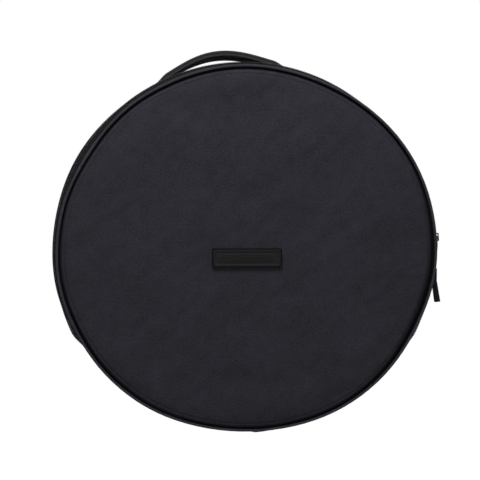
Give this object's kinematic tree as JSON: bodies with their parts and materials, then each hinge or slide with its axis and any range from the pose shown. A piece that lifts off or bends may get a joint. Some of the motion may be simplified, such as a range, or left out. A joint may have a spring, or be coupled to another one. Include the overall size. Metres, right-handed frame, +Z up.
{
  "type": "snare drum bag",
  "caption": "Round padded carrying bag for a snare drum, standing on its rim, with a zipped lid that hinges at the bottom and a webbing handle on top.",
  "frame": {"origin": "on the ground, in the middle of the width and depth of the bag, on the flat that the side wall rests on", "axes": "+Z up as the bag stands, -Y out of the front panel that opens, +X to the right of someone who faces the front"},
  "size_m": [0.4081, 0.1789, 0.3978],
  "materials": {
    "shell_cloth": "matte",
    "padding": "matte",
    "lining_cloth": "matte",
    "piping_cloth": "matte",
    "binding_tape": "matte",
    "webbing": "matte",
    "zip_tape": "matte",
    "zip_coil": "satin",
    "dark_metal": "satin",
    "soft_rubber": "satin"
  },
  "bodies": {
    "bag_body": {"side_wall": "shell_cloth", "wall_foam": "padding", "wall_lining": "lining_cloth", "back_panel": "shell_cloth", "back_foam": "padding", "back_lining": "lining_cloth", "back_piping": "piping_cloth", "back_seam_binding": "binding_tape", "zip_tape_body": "zip_tape", "zip_coil_body": "zip_coil", "zip_stop_left": "dark_metal", "zip_stop_right": "dark_metal", "hinge_cloth_body": "shell_cloth", "handle_end_left": "webbing", "handle_end_right": "webbing"},
    "lid": {"front_panel": "shell_cloth", "front_foam": "padding", "front_lining": "lining_cloth", "front_piping": "piping_cloth", "front_seam_binding": "binding_tape", "lid_boxing": "shell_cloth", "zip_tape_lid": "zip_tape", "zip_coil_lid": "zip_coil", "hinge_cloth_lid": "shell_cloth", "front_patch": "soft_rubber"},
    "slider": {"zip_slider": "dark_metal"},
    "pull": {"pull_tab": "dark_metal", "pull_grip": "soft_rubber"},
    "handle": {"handle_inner_ply": "webbing", "handle_outer_ply": "webbing"}
  },
  "joints": [
    {"name": "lid_hinge", "type": "hinge", "parent": "bag_body", "child": "lid", "pos_m": [0, -0.05, 0], "axis": [1, 0, 0], "range_deg": [0, 170]},
    {"name": "zip_slide", "type": "hinge", "parent": "bag_body", "child": "slider", "pos_m": [0, -0.05, 0.18515], "axis": [0, 1, 0], "range_deg": [-198, 27]},
    {"name": "pull_swing", "type": "hinge", "parent": "slider", "child": "pull", "pos_m": [0.20329, -0.05, 0.20115], "axis": [0, -1, 0], "range_deg": [0, 179]},
    {"name": "handle_lift", "type": "slide", "parent": "bag_body", "child": "handle", "axis": [-0.1219, 0, 0.9925], "range_m": [0, 0.012], "stiffness_N_per_m": 400}
  ]
}
